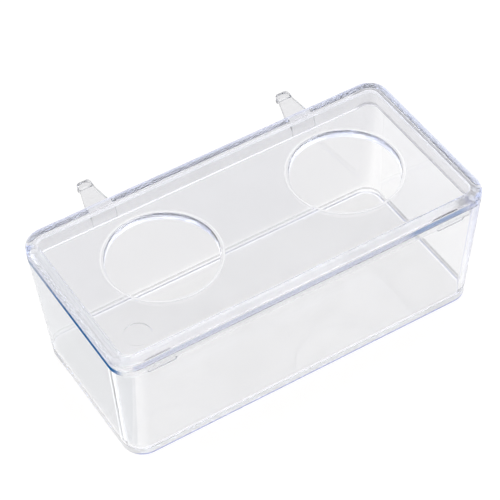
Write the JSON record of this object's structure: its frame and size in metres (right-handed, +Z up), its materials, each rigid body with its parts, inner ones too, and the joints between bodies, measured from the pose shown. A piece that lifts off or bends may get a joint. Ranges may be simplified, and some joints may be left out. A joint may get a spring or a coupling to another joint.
{
  "type": "hang-on feeder box",
  "caption": "Clear plastic box with a press-in lid that has round openings to reach through, and rear hooks that hang it on cage wire.",
  "frame": {"origin": "middle of the flat underside that the box stands on", "axes": "+X along the length, +Y to the rear where the hooks are, +Z up"},
  "size_m": [0.13, 0.0752, 0.0478],
  "materials": {
    "tub_plastic": "clear, glossy moulded plastic",
    "lid_plastic": "clear, glossy moulded plastic"
  },
  "bodies": {
    "box": {"tub": "tub_plastic"},
    "cover": {"lid": "lid_plastic"}
  },
  "joints": [
    {"name": "lid_lift", "type": "slide", "parent": "box", "child": "cover", "axis": [0, 0, 1], "range_m": [0, 0.03]}
  ]
}
